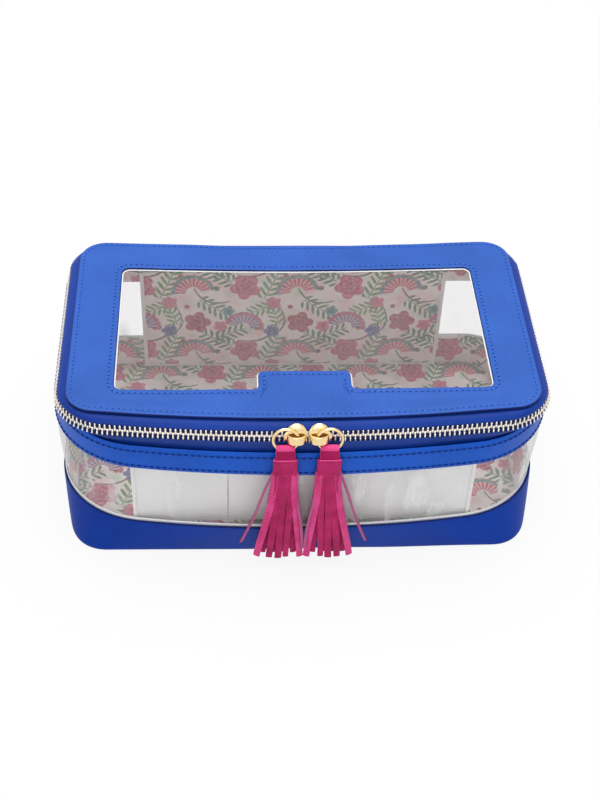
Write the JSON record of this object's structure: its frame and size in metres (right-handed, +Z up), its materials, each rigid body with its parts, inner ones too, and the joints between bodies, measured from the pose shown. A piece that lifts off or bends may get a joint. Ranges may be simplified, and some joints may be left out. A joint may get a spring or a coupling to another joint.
{
  "type": "game tile bag",
  "caption": "Soft zipped case with clear walls and a clear lid window, which carries game tiles in their trays.",
  "frame": {"origin": "middle of the base, on the surface that the case stands on", "axes": "+X to the right along the long side, +Y to the back where the lid is hinged, +Z up; the zipper pulls are at the front, towards -Y"},
  "size_m": [0.262, 0.1672, 0.1024],
  "materials": {
    "blue_leather": "satin pebbled",
    "pink_leather": "satin embossed",
    "printed_lining": "printed",
    "clear_plastic": "clear",
    "zip_tape": "woven",
    "gold_metal": "polished",
    "board": "matte"
  },
  "bodies": {
    "case": {"base_wall": "blue_leather", "base_panel": "blue_leather", "base_board": "board", "floor_lining": "printed_lining", "base_wall_lining": "printed_lining", "clear_wall": "clear_plastic", "upper_band": "blue_leather", "upper_band_lining": "printed_lining", "front_pocket": "printed_lining", "back_pocket": "printed_lining", "lower_zip_tape": "zip_tape", "lower_zip_teeth": "gold_metal", "lower_zip_stop_left": "gold_metal", "lower_zip_stop_right": "gold_metal", "back_hinge_strip": "blue_leather"},
    "lid": {"lid_frame": "blue_leather", "lid_window": "clear_plastic", "lid_lining": "printed_lining", "upper_zip_tape": "zip_tape", "upper_zip_teeth": "gold_metal", "upper_zip_stop_left": "gold_metal", "upper_zip_stop_right": "gold_metal", "lid_back_band": "blue_leather"},
    "slider_left": {"slider_left": "gold_metal"},
    "pull_ring_left": {"pull_ring_left": "gold_metal"},
    "tassel_left": {"tassel_strap_left": "pink_leather", "tassel_left": "pink_leather"},
    "slider_right": {"slider_right": "gold_metal"},
    "pull_ring_right": {"pull_ring_right": "gold_metal"},
    "tassel_right": {"tassel_strap_right": "pink_leather", "tassel_right": "pink_leather"}
  },
  "joints": [
    {"name": "lid_hinge", "type": "hinge", "parent": "case", "child": "lid", "pos_m": [0, 0.07427, 0.09363], "axis": [-1, 0, 0], "range_deg": [0, 170]},
    {"name": "slider_left_slide", "type": "slide", "parent": "case", "child": "slider_left", "axis": [-0.9988, 0.0482, 0], "range_m": [0, 0.0691]},
    {"name": "pull_ring_left_swing", "type": "hinge", "parent": "slider_left", "child": "pull_ring_left", "pos_m": [-0.0048, -0.08395, 0.09538], "axis": [0, 0.1908, 0.9816], "range_deg": [0, 70]},
    {"name": "tassel_left_swing", "type": "hinge", "parent": "pull_ring_left", "child": "tassel_left", "pos_m": [-0.0111, -0.08508, 0.08957], "axis": [-1, 0, 0], "range_deg": [0, 55]},
    {"name": "slider_right_slide", "type": "slide", "parent": "case", "child": "slider_right", "axis": [0.9988, 0.0482, 0], "range_m": [0, 0.0691]},
    {"name": "pull_ring_right_swing", "type": "hinge", "parent": "slider_right", "child": "pull_ring_right", "pos_m": [0.0048, -0.08395, 0.09538], "axis": [0, -0.1908, -0.9816], "range_deg": [0, 70]},
    {"name": "tassel_right_swing", "type": "hinge", "parent": "pull_ring_right", "child": "tassel_right", "pos_m": [0.0111, -0.08508, 0.08957], "axis": [-1, 0, 0], "range_deg": [0, 55]}
  ]
}
